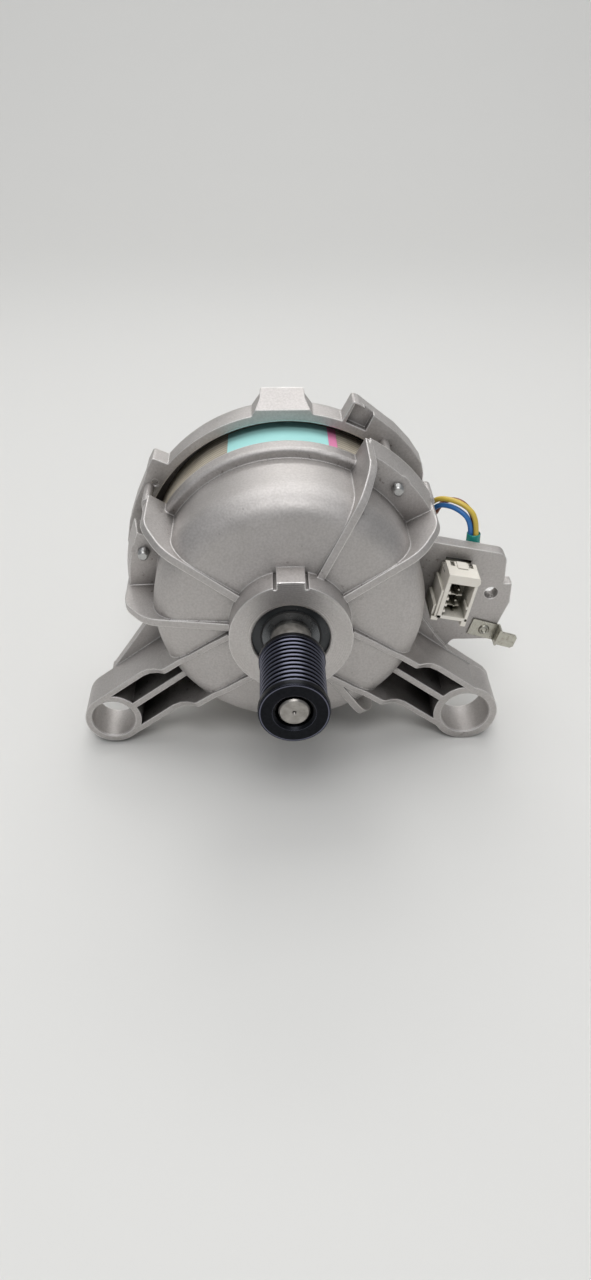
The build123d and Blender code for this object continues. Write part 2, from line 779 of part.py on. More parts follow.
def end_turns(y, length):
    """The wires' end turns on one side, a ring with bevelled corners."""
    bevel = math.copysign(coil_bevel, length)
    return turned([(coil_inner_r, y), (coil_inner_r, y + length - bevel),
                   (coil_inner_r + coil_bevel, y + length), (coil_outer_r - coil_bevel, y + length),
                   (coil_outer_r, y + length - bevel), (coil_outer_r, y)])


def make_coils():
    front = stack_front_y - insulator_thickness
    rear = stack_rear_y + insulator_thickness
    coils = end_turns(front, -front_coil_length) + end_turns(rear, rear_coil_length)
    for angle in around(slot_count):
        coils += plate(slot_face(angle, coil_margin), front, rear)
    return coils


def make_insulator(y_stack, outward):
    """A slotted ring on one face of the stack with a collar outside the coils."""
    face = Circle(coil_outer_r + seat_gap + collar_wall) - Circle(stack_bore_r + slot_lip)
    for angle in around(slot_count):
        face -= slot_face(angle, coil_margin)
    y_far = y_stack + outward * insulator_thickness
    ring = plate(face, min(y_stack, y_far), max(y_stack, y_far))
    y_collar = y_far + outward * insulator_collar
    collar_in = coil_outer_r + seat_gap
    return ring + tube(collar_in + collar_wall, collar_in, min(y_far, y_collar), max(y_far, y_collar))


def make_label(from_angle, to_angle):
    """A thin strip bent round the stator in the window between the shields."""
    middle = (from_angle + to_angle) / 2
    half = (to_angle - from_angle) / 2
    face = sector(stack_r + label_thickness, middle, half) - Circle(stack_r)
    label_y = rim_rear_y + label_margin
    return plate(face, label_y, label_y + label_length)


# Rotor
def bar_face(angle, margin):
    """One cage bar in (x, z), made smaller all round by a margin."""
    middle = stack_bore_r - air_gap - cage_bar_inset - cage_bar_depth / 2
    bar = Rectangle(cage_bar_depth - 2 * margin, cage_bar_width - 2 * margin)
    return Rot(0, 0, angle) * Pos(middle, 0) * bar


def make_rotor_core():
    face = Circle(stack_bore_r - air_gap) - Circle(core_seat_r + fit_gap)
    for angle in around(cage_bar_count):
        face -= bar_face(angle, 0)
    return plate(face, stack_front_y, stack_rear_y)


def make_rotor_cage():
    outer = stack_bore_r - air_gap - seat_gap
    inner = outer - end_ring_wall
    cage = tube(outer, inner, stack_front_y - end_ring_length, stack_front_y)
    cage += tube(outer, inner, stack_rear_y, stack_rear_y + end_ring_length)
    for angle in around(cage_bar_count):
        cage += plate(bar_face(angle, fit_gap), stack_front_y, stack_rear_y)
    return cage


# Fasteners and washer
def make_bolts():
    bolts = []
    tip_y = flange_front_y - bolt_tip_reach
    socket_y = bolt_head_y + bolt_head_height - bolt_socket_depth
    for angle in ear_angles:
        x, z = polar(fixing_circle_r, angle)
        bolt = pin(x, z, bolt_r, tip_y, bolt_head_y)
        bolt = chamfer(bolt.edges().sort_by(Axis.Y)[0], bolt_tip_chamfer)
        bolt += pin(x, z, bolt_head_r, bolt_head_y, bolt_head_y + bolt_head_height)
        socket = Pos(x, z) * RegularPolygon(bolt_socket_r, 6)
        bolts.append(bolt - plate(socket, socket_y, bolt_head_y + bolt_head_height + overrun))
    return bolts


def make_wave_washer():
    """A flat ring whose raised pads alternate between its two sides."""
    front_y = rear_hub_y - rear_hub_wall - wave_height
    ring_y = front_y + (wave_height - wave_washer_thickness) / 2
    outer_r = rear_race_r - seat_gap
    inner_r = outer_r - race_wall
    washer = tube(outer_r, inner_r, ring_y, ring_y + wave_washer_thickness)
    for turn in around(wave_count):
        for angle, start_y in ((turn, front_y), (turn + 180, ring_y)):
            pad = sector(outer_r, angle, wave_pad_span / 2) - Circle(inner_r)
            washer += plate(pad, start_y, start_y + (wave_height + wave_washer_thickness) / 2)
    return washer


# Speed sensor
def make_magnet():
    return tube(magnet_r, tail_r + fit_gap, magnet_y, magnet_y + magnet_length)


def make_sensor_coil():
    return tube(sensor_coil_r, magnet_r + sensor_gap, magnet_y, magnet_y + sensor_coil_length)


def make_cover():
    rear = rear_hub_y + cover_length
    cap = turned([(0, rear_hub_y), (cover_r, rear_hub_y), (cover_r, rear), (0, rear)],
                 [0, 0, cover_rounding, 0])
    for angle in cover_screw_angles:
        x, z = polar(cover_screw_circle_r, angle)
        cap += pin(x, z, cover_lug_r, rear_hub_y, rear_hub_y + cover_flange_thickness)
    cap -= tube(sensor_coil_r, 0, rear_hub_y - overrun, rear - cover_wall)
    for angle in cover_screw_angles:
        x, z = polar(cover_screw_circle_r, angle)
        cap -= pin(x, z, cover_screw_r, rear_hub_y - overrun,
                   rear_hub_y + cover_flange_thickness + overrun)
    return cap


def make_cover_screws():
    screws = []
    seat_y = rear_hub_y + cover_flange_thickness
    for angle in cover_screw_angles:
        x, z = polar(cover_screw_circle_r, angle)
        screw = pin(x, z, cover_screw_r, rear_hub_y - cover_screw_reach, seat_y)
        screws.append(screw + pin(x, z, cover_screw_head_r, seat_y, seat_y + cover_screw_head_height))
    return screws


# Connector, drawn upright about its own centre and then tilted into place
def connector_place(shape):
    """Tilts an upright shape into the connector's place on the plate."""
    return Pos(connector_x, 0, connector_z) * Rot(0, connector_tilt, 0) * shape


def block(x, z, width, height, y_front, y_rear):
    """A box along the shaft direction about an (x, z) centre."""
    return plate(Pos(x, z) * Rectangle(width, height), y_front, y_rear)


def make_connector_housing():
    front = plate_front_y - connector_reach
    body = block(0, 0, connector_width, connector_height, front, plate_front_y)
    tail_width = connector_width - 2 * connector_tail_margin
    tail_height = connector_height - 2 * connector_tail_margin
    tail_rear = plate_rear_y + connector_tail
    body += block(0, 0, tail_width, tail_height, plate_front_y, tail_rear)
    socket_z = -socket_drop
    body -= block(socket_shift, socket_z, socket_width, socket_height, front - overrun,
                  front + socket_depth)
    for i in range(connector_notch_count):
        z = socket_z + (i - (connector_notch_count - 1) / 2) * connector_pitch
        body -= block(socket_shift - socket_width / 2, z, 2 * notch_size, notch_size,
                      front - overrun, front + socket_depth)
    top = connector_height / 2
    for side in (-1, 1):
        x = side * (latch_width + latch_slot) / 2
        body -= block(x, top, latch_slot, 2 * latch_slot_depth, front + latch_slot_depth,
                      plate_front_y)
        foot_z = -top - foot_drop + foot_height / 2
        foot_x = side * (connector_width - foot_width) / 2
        body += block(foot_x, foot_z, foot_width, foot_height, front, plate_front_y)
    body = connector_place(body)
    for piece in make_connector_contacts() + [yellow_lead, blue_lead, red_lead]:
        body -= piece
    return body


def make_connector_contacts():
    front = plate_front_y - connector_reach + socket_depth
    contacts = []
    for i in range(contact_count):
        z = -socket_drop + (i - (contact_count - 1) / 2) * connector_pitch
        blade = block(socket_shift, z, contact_width, contact_thickness, front - contact_reach,
                      plate_rear_y)
        contacts.append(connector_place(blade))
    return contacts


# Earth terminal
def earth_place(shape):
    return Pos(earth_x, plate_front_y, earth_z) * Rot(0, earth_tilt, 0) * shape


def make_earth_terminal():
    """A riveted pad, a short riser and a blade, from one bent strip."""
    pad = Pos(0, -earth_thickness / 2, 0) * Box(earth_pad_length, earth_thickness, earth_width)
    riser_x = (earth_pad_length - earth_thickness) / 2
    riser = Pos(riser_x, -earth_rise / 2, 0) * Box(earth_thickness, earth_rise, earth_width)
    tip_x = earth_pad_length / 2 - earth_thickness + blade_length / 2
    blade = Pos(tip_x, earth_thickness / 2 - earth_rise, 0) * Box(blade_length, earth_thickness,
                                                                 blade_width)
    tips = blade.edges().filter_by(Axis.Y).sort_by(Axis.X)[-2:]
    blade = chamfer(tips, blade_chamfer)
    hole = Rot(90, 0, 0) * Cylinder(earth_rivet_r, 4 * earth_thickness)
    return earth_place(pad + riser + blade - hole)


def rivet_shank(radius):
    """The rivet's shank, through the pad and into the plate."""
    middle_y = earth_rivet_shank / 2 - earth_thickness
    return earth_place(Pos(0, middle_y, 0) * Rot(90, 0, 0) * Cylinder(radius, earth_rivet_shank))


def make_earth_rivet():
    head = Pos(0, -earth_thickness - earth_rivet_head / 2, 0) * \
        Rot(90, 0, 0) * Cylinder(earth_rivet_head_r, earth_rivet_head)
    return rivet_shank(earth_rivet_r) + earth_place(head)


# Leads, from the guide in the rear rim over the plate's edge to the connector's tail
def make_lead(route):
    """A round lead along straight runs joined by arcs as large as the runs allow."""
    points = [(rear_rim_r + x, rear_rim_front_y + y, z) for x, y, z in route]
    vectors = [Vector(*p) for p in points]
    radii = []
    for before, corner, after in zip(vectors, vectors[1:], vectors[2:]):
        turn = math.radians((corner - before).get_angle(after - corner))
        run = min((corner - before).length, (after - corner).length)
        radii.append(arc_share * run / math.tan(turn / 2))
    print("lead radii", [round(r, 1) for r in radii])
    path = FilletPolyline(*points, radius=radii)
    section = Plane(path @ 0, z_dir=path % 0) * Circle(lead_r)
    return sweep(section, path=path)


def make_guide():
    """The guide's block with a hole for each lead."""
    return guide_block() - yellow_lead - blue_lead - red_lead


def make_sleeve():
    centre = Pos(rear_rim_r + sleeve_x, rear_rim_front_y + sleeve_y,
                 sleeve_top_z - sleeve_length / 2)
    outer = Cylinder(sleeve_bore_r + sleeve_wall, sleeve_length)
    return centre * (outer - Cylinder(sleeve_bore_r, sleeve_length + 2 * overrun))


yellow_lead = make_lead(yellow_route)
blue_lead = make_lead(blue_route)
red_lead = make_lead(red_route)


# Export
def bearing_nodes(name, parts):
    inner, outer, seals, balls, cage = parts
    return {name + "_bearing_inner_race": inner, name + "_bearing_outer_race": outer,
            name + "_bearing_seals": Compound(children=seals),
            name + "_bearing_balls": Compound(children=balls), name + "_bearing_cage": cage}


nodes = {
    "drive_pulley": make_pulley(),
    "shaft": make_shaft(),
    "front_shield": make_front_shield(),
    "rear_shield": make_rear_shield(),
    "stator_stack": make_stack(),
    "stator_coils": make_coils(),
    "front_insulator": make_insulator(stack_front_y, -1),
    "rear_insulator": make_insulator(stack_rear_y, 1),
    "rating_label": make_label(label_from_angle + stripe_span, label_to_angle),
    "label_stripe": make_label(label_from_angle, label_from_angle + stripe_span),
    "rotor_core": make_rotor_core(),
    "rotor_cage": make_rotor_cage(),
    "through_bolts": Compound(children=make_bolts()),
    "wave_washer": make_wave_washer(),
    "sensor_magnet": make_magnet(),
    "sensor_coil": make_sensor_coil(),
    "sensor_cover": make_cover(),
    "sensor_screws": Compound(children=make_cover_screws()),
    "connector_housing": make_connector_housing(),
    "connector_contacts": Compound(children=make_connector_contacts()),
    "earth_terminal": make_earth_terminal(),
    "earth_rivet": make_earth_rivet(),
    "lead_guide": make_guide(),
    "lead_yellow": yellow_lead,
    "lead_blue": blue_lead,
    "lead_red": red_lead,
    "lead_sleeve": make_sleeve(),
}
nodes.update(bearing_nodes("front", make_bearing(shaft_journal_r, front_race_r,
                                                 front_bearing_width, front_bearing_y,
                                                 front_ball_r, front_ball_count)))
nodes.update(bearing_nodes("rear", make_bearing(rear_bore_r, rear_race_r, rear_bearing_width,
                                                rear_bearing_y, rear_ball_r, rear_ball_count)))

os.makedirs("parts", exist_ok=True)
for node, shape in nodes.items():
    export_step(shape, "parts/" + node + ".step")
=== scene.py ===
import json
import math

import bpy
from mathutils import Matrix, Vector


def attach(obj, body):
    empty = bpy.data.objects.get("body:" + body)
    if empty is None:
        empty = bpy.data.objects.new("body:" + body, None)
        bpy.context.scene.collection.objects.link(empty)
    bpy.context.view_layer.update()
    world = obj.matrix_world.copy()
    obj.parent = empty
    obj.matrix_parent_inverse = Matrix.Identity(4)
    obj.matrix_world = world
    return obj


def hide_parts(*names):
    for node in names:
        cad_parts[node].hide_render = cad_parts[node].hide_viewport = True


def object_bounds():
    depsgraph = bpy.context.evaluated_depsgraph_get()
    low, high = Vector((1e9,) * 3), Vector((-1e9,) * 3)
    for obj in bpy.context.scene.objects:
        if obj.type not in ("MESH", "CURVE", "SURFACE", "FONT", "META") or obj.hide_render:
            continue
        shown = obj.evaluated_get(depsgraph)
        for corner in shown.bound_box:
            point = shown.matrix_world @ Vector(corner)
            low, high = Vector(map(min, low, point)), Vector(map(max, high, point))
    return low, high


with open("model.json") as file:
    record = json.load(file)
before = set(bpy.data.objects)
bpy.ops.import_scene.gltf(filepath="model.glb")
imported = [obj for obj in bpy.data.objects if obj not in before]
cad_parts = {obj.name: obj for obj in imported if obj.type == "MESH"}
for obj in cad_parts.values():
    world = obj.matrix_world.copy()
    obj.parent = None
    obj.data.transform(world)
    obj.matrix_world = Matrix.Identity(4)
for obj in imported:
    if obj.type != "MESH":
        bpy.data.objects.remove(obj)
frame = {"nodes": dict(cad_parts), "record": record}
cad_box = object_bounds()
nodes = frame["nodes"]
MM = 0.001


# Small tools
def linear(code):
    """An sRGB hex value such as B4AFAA as linear red, green, blue and alpha."""
    out = []
    for i in (0, 2, 4):
        c = int(code[i:i + 2], 16) / 255
        out.append(c / 12.92 if c <= 0.04045 else ((c + 0.055) / 1.055) ** 2.4)
    return (*out, 1.0)


def put(name, data):
    """Adds an object that holds the given data to the scene."""
    thing = bpy.data.objects.new(name, data)
    bpy.context.scene.collection.objects.link(thing)
    return thing


def put_mesh(name, points, faces, unit=MM, smooth=False):
    """Adds a mesh from its points, which are in millimetres unless unit says otherwise."""
    shape = bpy.data.meshes.new(name)
    shape.from_pydata([tuple(v * unit for v in point) for point in points], [], faces)
    if smooth:
        for polygon in shape.polygons:
            polygon.use_smooth = True
    return put(name, shape)


def dress(piece, material):
    """Gives a piece one material."""
    piece.data.materials.clear()
    piece.data.materials.append(material)


# Tools for materials
def feed(node, feeds):
    """Gives each named socket of a node its value, or the socket that drives it."""
    for socket, value in feeds.items():
        if isinstance(value, bpy.types.NodeSocket):
            node.id_data.links.new(value, node.inputs[socket])
        else:
            node.inputs[socket].default_value = value


def add(material, kind, feeds=None, **settings):
    """Adds a node to a material, with its settings and what its sockets take."""
    node = material.node_tree.nodes.new(kind)
    for name, value in settings.items():
        setattr(node, name, value)
    feed(node, feeds or {})
    return node


def new_material(name):
    """An empty material with its output and surface shader, and the place on the part in metres."""
    material = bpy.data.materials.new(name)
    material.use_nodes = True
    material.node_tree.nodes.clear()
    shader = add(material, "ShaderNodeBsdfPrincipled")
    add(material, "ShaderNodeOutputMaterial", {"Surface": shader.outputs["BSDF"]})
    place = add(material, "ShaderNodeTexCoord").outputs["Object"]
    return material, shader, place


def noise(material, place, size, detail, more=None):
    """Cloudy noise whose patches have the given size in metres."""
    feeds = {"Vector": place, "Scale": 1 / size, "Detail": detail, **(more or {})}
    return add(material, "ShaderNodeTexNoise", feeds).outputs["Fac"]


def waves(material, place, pitch, more=None, **settings):
    """Even waves that repeat after each pitch in metres."""
    feeds = {"Vector": place, "Scale": math.pi / 10 / pitch, **(more or {})}
    return add(material, "ShaderNodeTexWave", feeds, **settings).outputs["Fac"]


def ramp(material, value, start, end, low=0.0, high=1.0):
    """Brings a value from start..end to low..high, and holds it beyond both ends."""
    feeds = {"Value": value, "From Min": start, "From Max": end, "To Min": low, "To Max": high}
    return add(material, "ShaderNodeMapRange", feeds).outputs["Result"]


def blend(material, factor, base, over):
    """Lays the colour over on the colour base, as far as factor says."""
    feeds = {0: factor, 6: base, 7: over}
    return add(material, "ShaderNodeMix", feeds, data_type="RGBA").outputs[2]


def switch(material, factor, off, on):
    """Goes from one number to another, as far as factor says."""
    return add(material, "ShaderNodeMix", {0: factor, 2: off, 3: on}).outputs[0]


def combine(material, first, second, operation):
    """One number from two, by the named operation."""
    return add(material, "ShaderNodeMath", {0: first, 1: second},
               operation=operation).outputs["Value"]


def soften(material, radius, samples):
    """The normal rounded over each edge by a radius in metres."""
    return add(material, "ShaderNodeBevel", {"Radius": radius}, samples=samples).outputs["Normal"]


def find_edges(material, soft, start, end, most):
    """How far a place is an edge, from 0 to most, by how much its soft normal turns."""
    hard = add(material, "ShaderNodeNewGeometry").outputs["Normal"]
    along = add(material, "ShaderNodeVectorMath", {0: soft, 1: hard}, operation="DOT_PRODUCT")
    return ramp(material, along.outputs["Value"], start, end, 0.0, most)


def openness(material, reach):
    """How open a place is, from 0 in a deep nook to 1, looking as far as reach in metres."""
    return add(material, "ShaderNodeAmbientOcclusion", {"Distance": reach}, samples=6).outputs["AO"]


def emboss(material, height, strength, depth, normal=None):
    """The normal of a surface that height raises by up to depth in metres."""
    feeds = {"Height": height, "Strength": strength, "Distance": depth}
    if normal is not None:
        feeds["Normal"] = normal
    return add(material, "ShaderNodeBump", feeds).outputs["Normal"]


# Camera, set where the photograph was taken
CAMERA_AIM = Vector((1.60, 27.9, -0.28)) * MM
CAMERA_YAW, CAMERA_RISE = math.radians(-1.62), math.radians(34.59)
CAMERA_DISTANCE = 382.2 * MM
camera = put("camera", bpy.data.cameras.new("camera"))
bpy.context.scene.camera = camera
back = Vector((math.sin(CAMERA_YAW) * math.cos(CAMERA_RISE),
               -math.cos(CAMERA_YAW) * math.cos(CAMERA_RISE), math.sin(CAMERA_RISE)))
camera.location = CAMERA_AIM + back * CAMERA_DISTANCE
camera.rotation_mode = "QUATERNION"
camera.rotation_quaternion = back.to_track_quat("Z", "Y")
camera.data.sensor_width = 36.0
camera.data.lens = 29.14
camera.data.clip_start = 0.01
camera.data.clip_end = 20.0


# Where the hub's front face lies along the shaft, and the radii that the pulley's rib crests
# lie between, in metres
HUB_FACE = 0.0280
CREST_FROM, CREST_TO = 0.0113, 0.01172


# Die-cast aluminium, tumbled: pale warm grey with a fine skin, with painted highlights along its
# edges and painted shade in its nooks, and turned smooth on the hub's front face
def cast_aluminium():
    material, shader, place = new_material("die_cast_aluminium")
    # the skin's grain is near 0.3 mm, drawn at 0.8 mm so that it shows
    grain = noise(material, place, size=0.0008, detail=3.0)
    flow = noise(material, place, size=0.022, detail=4.0, more={"Distortion": 0.6})
    colour = blend(material, flow, linear("B8B4B1"), linear("D8D4D2"))
    speck = ramp(material, grain, start=0.35, end=0.65, high=0.22)
    colour = blend(material, speck, colour, linear("8C8783"))
    # scattered pits, half a millimetre to one across and about 6.5 mm apart
    pits = add(material, "ShaderNodeTexVoronoi", {"Vector": place, "Scale": 1 / 0.0065,
                                                  "Randomness": 1.0})
    pit = ramp(material, pits.outputs["Distance"], start=0.035, end=0.075, low=0.25, high=0.0)
    colour = blend(material, pit, colour, linear("4A4541"))
    # painted highlight along the edges, paler where the surface turns over
    soft = soften(material, radius=0.0009, samples=6)
    edge_highlight = find_edges(material, soft, start=0.995, end=0.88, most=0.9)
    colour = blend(material, edge_highlight, colour, linear("F6F3F1"))
    # painted shade in the nooks, darker the deeper they are
    nook = openness(material, reach=0.012)
    nook_shade = ramp(material, nook, start=0.15, end=0.7, low=0.8, high=0.0)
    colour = blend(material, nook_shade, colour, linear("3A3633"))
    # brown stains of a millimetre or two that keep to the creases
    crease = ramp(material, nook, start=0.55, end=0.85, low=1.0, high=0.0)
    stains = noise(material, place, size=0.0028, detail=5.0, more={"Roughness": 0.7})
    stained = ramp(material, stains, start=0.6, end=0.68, high=0.75)
    spill = combine(material, crease, stained, "MULTIPLY")
    colour = blend(material, spill, colour, linear("453629"))
    # turning lines on the hub's front face, the foremost part of the casting
    axes = add(material, "ShaderNodeSeparateXYZ", {"Vector": place})
    turned = ramp(material, axes.outputs["Y"], start=HUB_FACE + 0.0001, end=HUB_FACE)
    rings = waves(material, place, pitch=0.0008, wave_type="RINGS", rings_direction="Y")
    cast_gloss = ramp(material, flow, start=0.3, end=0.7, low=0.48, high=0.62)
    height = switch(material, turned, grain, rings)
    feed(shader, {"Metallic": 1.0, "Base Color": colour,
                  "Roughness": switch(material, turned, cast_gloss, 0.36),
                  "Normal": emboss(material, height, strength=0.2, depth=0.0003, normal=soft)})
    return material


# Blackened steel, turned: near black and satin, worn paler on the crests of the ribs, with painted
# highlights along its edges
def blackened_steel():
    material, shader, place = new_material("blackened_steel")
    flat = add(material, "ShaderNodeVectorMath", {0: place, 1: (1.0, 0.0, 1.0)},
               operation="MULTIPLY").outputs["Vector"]
    radius = add(material, "ShaderNodeVectorMath", {0: flat}, operation="LENGTH").outputs["Value"]
    # only the ribs' crests, not the collars, which stand higher
    crest = ramp(material, radius, start=CREST_FROM, end=CREST_FROM + 0.0002, high=0.5)
    below_collar = ramp(material, radius, start=CREST_TO, end=CREST_TO + 0.00006, low=1.0,
                        high=0.0)
    rubbed = combine(material, crest, below_collar, "MULTIPLY")
    # edges painted paler as a highlight, on the collars and round the mouth
    soft = soften(material, radius=0.0004, samples=6)
    edge_highlight = find_edges(material, soft, start=0.99, end=0.9, most=0.35)
    wear_and_highlight = combine(material, rubbed, edge_highlight, "MAXIMUM")
    # faint marks of about a millimetre in its tone and gloss
    marks = noise(material, place, size=0.0011, detail=2.0)
    tone = blend(material, marks, linear("17181A"), linear("26272B"))
    feed(shader, {"Metallic": 1.0, "Base Color": blend(material, wear_and_highlight, tone, linear("9092A6")),
                  "Roughness": ramp(material, marks, start=0.3, end=0.7, low=0.28, high=0.4),
                  "Normal": emboss(material, marks, strength=0.12, depth=0.0002, normal=soft)})
    return material


# Varnished laminations: sheets 0.5 mm thick, drawn 2 mm apart so that they show
def varnished_laminations():
    material, shader, place = new_material("varnished_laminations")
    sheets = waves(material, place, pitch=0.002, more={"Distortion": 0.4, "Detail": 1.0},
                   wave_type="BANDS", bands_direction="Y")
    blotch = noise(material, place, size=0.009, detail=4.0)
    tone = blend(material, blotch, linear("B4A893"), linear("EEE5D3"))
    gap = ramp(material, sheets, start=0.0, end=1.0, low=0.35, high=0.0)
    feed(shader, {"Metallic": 0.2, "Roughness": 0.5,
                  "Base Color": blend(material, gap, tone, linear("3A322B")),
                  "Normal": emboss(material, sheets, strength=0.5, depth=0.0002)})
    return material


def spotted(name, pale, deep, size, roughness, relief, metallic=0.0, edge_radius=0.0002, ior=1.45,
            painted_shade=None, reach=0.004):
    """A plain finish whose tone, gloss and relief vary in spots, with lengths in metres.

    The colour for its nooks, if given, is painted shade, laid as far from their corners as reach.
    """
    material, shader, place = new_material(name)
    spots = noise(material, place, size, detail=3.0)
    tone = blend(material, spots, linear(deep), linear(pale))
    # painted shade in the nooks
    if painted_shade:
        shade = ramp(material, openness(material, reach), start=0.2, end=0.8, low=0.95, high=0.0)
        tone = blend(material, shade, tone, linear(painted_shade))
    soft = soften(material, edge_radius, samples=4)
    gloss = ramp(material, spots, start=0.3, end=0.7, low=roughness - 0.05, high=roughness + 0.06)
    feed(shader, {"Metallic": metallic, "Base Color": tone, "Roughness": gloss,
                  "Normal": emboss(material, spots, strength=0.25, depth=relief, normal=soft)})
    if metallic < 0.5:
        feed(shader, {"IOR": ior})
    return material


materials = {
    "cast_aluminium": cast_aluminium(),
    "blackened_steel": blackened_steel(),
    "varnished_laminations": varnished_laminations(),
    # Ground shaft steel, bright with faint stains, and painted shade in its nooks
    "shaft_steel": spotted("ground_shaft_steel", "C4C0BB", "6B6762", size=0.0024, roughness=0.38,
                           relief=0.0001, metallic=1.0, painted_shade="191817", reach=0.0022),
    # Enamelled copper wire, seen as strands of about a millimetre
    "enamelled_wire": spotted("enamelled_copper_wire", "A85A2C", "6E3214", size=0.0009,
                              roughness=0.38, relief=0.0004, metallic=0.8),
    # Moulded nylon of the slot insulators, cream and matt
    "insulator_nylon": spotted("moulded_nylon_insulator", "E6DFC8", "CFC6AA", size=0.003,
                               roughness=0.5, relief=0.0001),
    # Satin polyester label film, even in tone
    "label_blue": spotted("pale_blue_label_film", "C2FAF6", "B2F0EC", size=0.006, roughness=0.36,
                          relief=0.00005),
    "label_pink": spotted("pink_label_film", "F79CC4", "EE8CB8", size=0.006, roughness=0.36,
                          relief=0.00005),
    # Turned rotor laminations, dark between the bright bars of cast aluminium
    "rotor_laminations": spotted("turned_rotor_laminations", "77736F", "55514E", size=0.001,
                                 roughness=0.42, relief=0.0001, metallic=0.9),
    "cage_aluminium": spotted("cast_cage_aluminium", "C8C6C3", "A3A09C", size=0.0015,
                              roughness=0.42, relief=0.0002, metallic=0.9),
    # Zinc plated steel, bright with a soft haze, and rolled spring steel, darker
    "zinc_steel": spotted("zinc_plated_steel", "CDCDCB", "A6A6A6", size=0.0012, roughness=0.34,
                          relief=0.0001, metallic=1.0),
    "spring_steel": spotted("rolled_spring_steel", "8C8C8E", "67676A", size=0.0015,
                            roughness=0.35, relief=0.0001, metallic=1.0),
    # Ground and polished bearing steel, with painted shade in its corners
    "bearing_steel": spotted("polished_bearing_steel", "7C7E80", "626466", size=0.006,
                             roughness=0.28, relief=0.00002, metallic=0.9, painted_shade="161616",
                             reach=0.0028),
    # Moulded nitrile rubber of the bearing's shields, dark with a clear sheen
    "seal_rubber": spotted("moulded_nitrile_rubber", "3C3F41", "2B2D2F", size=0.006,
                           roughness=0.24, relief=0.00003, metallic=0.3, ior=1.52),
    # Sintered ferrite, taped winding and moulded polyamide of the speed sensor, all dull
    "ferrite": spotted("sintered_ferrite", "3A3A3D", "232325", size=0.001, roughness=0.55,
                       relief=0.0002, metallic=0.2),
    "sensor_bobbin": spotted("taped_sensor_winding", "5A4632", "33271B", size=0.0015,
                             roughness=0.6, relief=0.0003),
    "cover_plastic": spotted("moulded_black_polyamide", "232323", "141414", size=0.0011,
                             roughness=0.5, relief=0.0001),
    # Moulded ivory nylon of the connector, with painted shade, olive brown, in its corners and the
    # depths of its socket
    "ivory_nylon": spotted("moulded_ivory_nylon", "F6F2EA", "EBE4D6", size=0.004, roughness=0.38,
                           relief=0.00008, edge_radius=0.0003, ior=1.53, painted_shade="3E3A1C",
                           reach=0.007),
    # Hot tinned brass, dull silver, with painted shade in its nooks
    "tinned_brass": spotted("tinned_brass", "D2D0C6", "A19E92", size=0.0014, roughness=0.3,
                            relief=0.0001, metallic=1.0, painted_shade="2A2822"),
    # Moulded rubber of the leads' grommet, black and matt
    "guide_rubber": spotted("moulded_grommet_rubber", "2B2B2B", "1A1A1A", size=0.0012,
                            roughness=0.55, relief=0.0001),
    # Shrunk polyolefin sleeve, teal and glossy
    "sleeve_teal": spotted("teal_shrink_sleeve", "35A79E", "1F8C82", size=0.003, roughness=0.24,
                           relief=0.0001, ior=1.5),
}
# Extruded PVC insulation of the leads, smooth with a low sheen
for colour, pale, deep in (("yellow", "E6CB5A", "CDAE42"), ("blue", "3F86D2", "2C69B2"),
                           ("brown", "9A5A3E", "7A4029")):
    materials[f"lead_{colour}_pvc"] = spotted(f"{colour}_pvc_insulation", pale, deep, size=0.004,
                                              roughness=0.34, relief=0.00005,
                                              edge_radius=0.0001, ior=1.53)

slot_of = {row["node"]: row["material_slot"] for row in frame["record"]["subparts"]}
for name, node in nodes.items():
    dress(node, materials[slot_of[name]])


# Leads, smooth tubes that arch over the plate's edge much as the solid ones do
LEAD_RADIUS = 1.05 * MM
lead_routes = {
    "lead_yellow": [(55.0, 93.4, 20.3), (58.4, 93.4, 21.4), (61.6, 85.2, 28.6), (70.6, 81.2, 27.2),
                    (75.7, 78.3, 22.0), (75.7, 78.3, 2.5), (68.0, 78.3, -3.3)],
    "lead_blue": [(56.0, 93.4, 17.1), (59.4, 93.4, 18.2), (61.6, 87.0, 24.6), (67.8, 82.4, 25.0),
                  (73.6, 79.1, 20.6), (73.6, 79.1, 6.5), (66.9, 79.1, 1.5)],
    "lead_red": [(56.9, 93.4, 13.9), (60.3, 93.4, 15.0), (63.2, 89.4, 25.4), (70.0, 84.7, 27.2),
                 (75.35, 80.5, 21.2), (75.35, 80.5, 4.5), (67.9, 80.5, -1.1)],
}
for name, route in lead_routes.items():
    curve = bpy.data.curves.new(name + "_insulation", "CURVE")
    curve.dimensions = "3D"
    curve.bevel_depth = LEAD_RADIUS
    curve.bevel_resolution = 6
    curve.resolution_u = 16
    curve.use_fill_caps = True
    spline = curve.splines.new("NURBS")
    spline.points.add(len(route) - 1)
    for point, corner in zip(spline.points, route):
        point.co = (*(c * MM for c in corner), 1.0)
    spline.order_u = 3
    spline.use_endpoint_u = True
    lead = put(name + "_insulation", curve)
    dress(lead, materials[slot_of[name]])
    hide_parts(name)
    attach(lead, "stator")


# Threads on the bolts' tips, a fine ridge that winds round each
def thread(name, x, z, y_from, y_to, radius, pitch, height):
    """A ridge round the line through (x, z) along y, with lengths in millimetres."""
    STEPS_PER_TURN = 28
    turns = (y_to - y_from) / pitch - 1
    rows = []
    for k in range(int(turns * STEPS_PER_TURN) + 1):
        angle = 2 * math.pi * k / STEPS_PER_TURN
        y = y_from + pitch * k / STEPS_PER_TURN
        for r, shift in ((radius, 0.1), (radius + height, 0.5), (radius, 0.9)):
            rows.append((x + r * math.cos(angle), y + shift * pitch, z + r * math.sin(angle)))
    faces = []
    for a in range(0, len(rows) - 3, 3):
        faces += [(a, a + 1, a + 4, a + 3), (a + 1, a + 2, a + 5, a + 4)]
    return put_mesh(name, rows, faces)


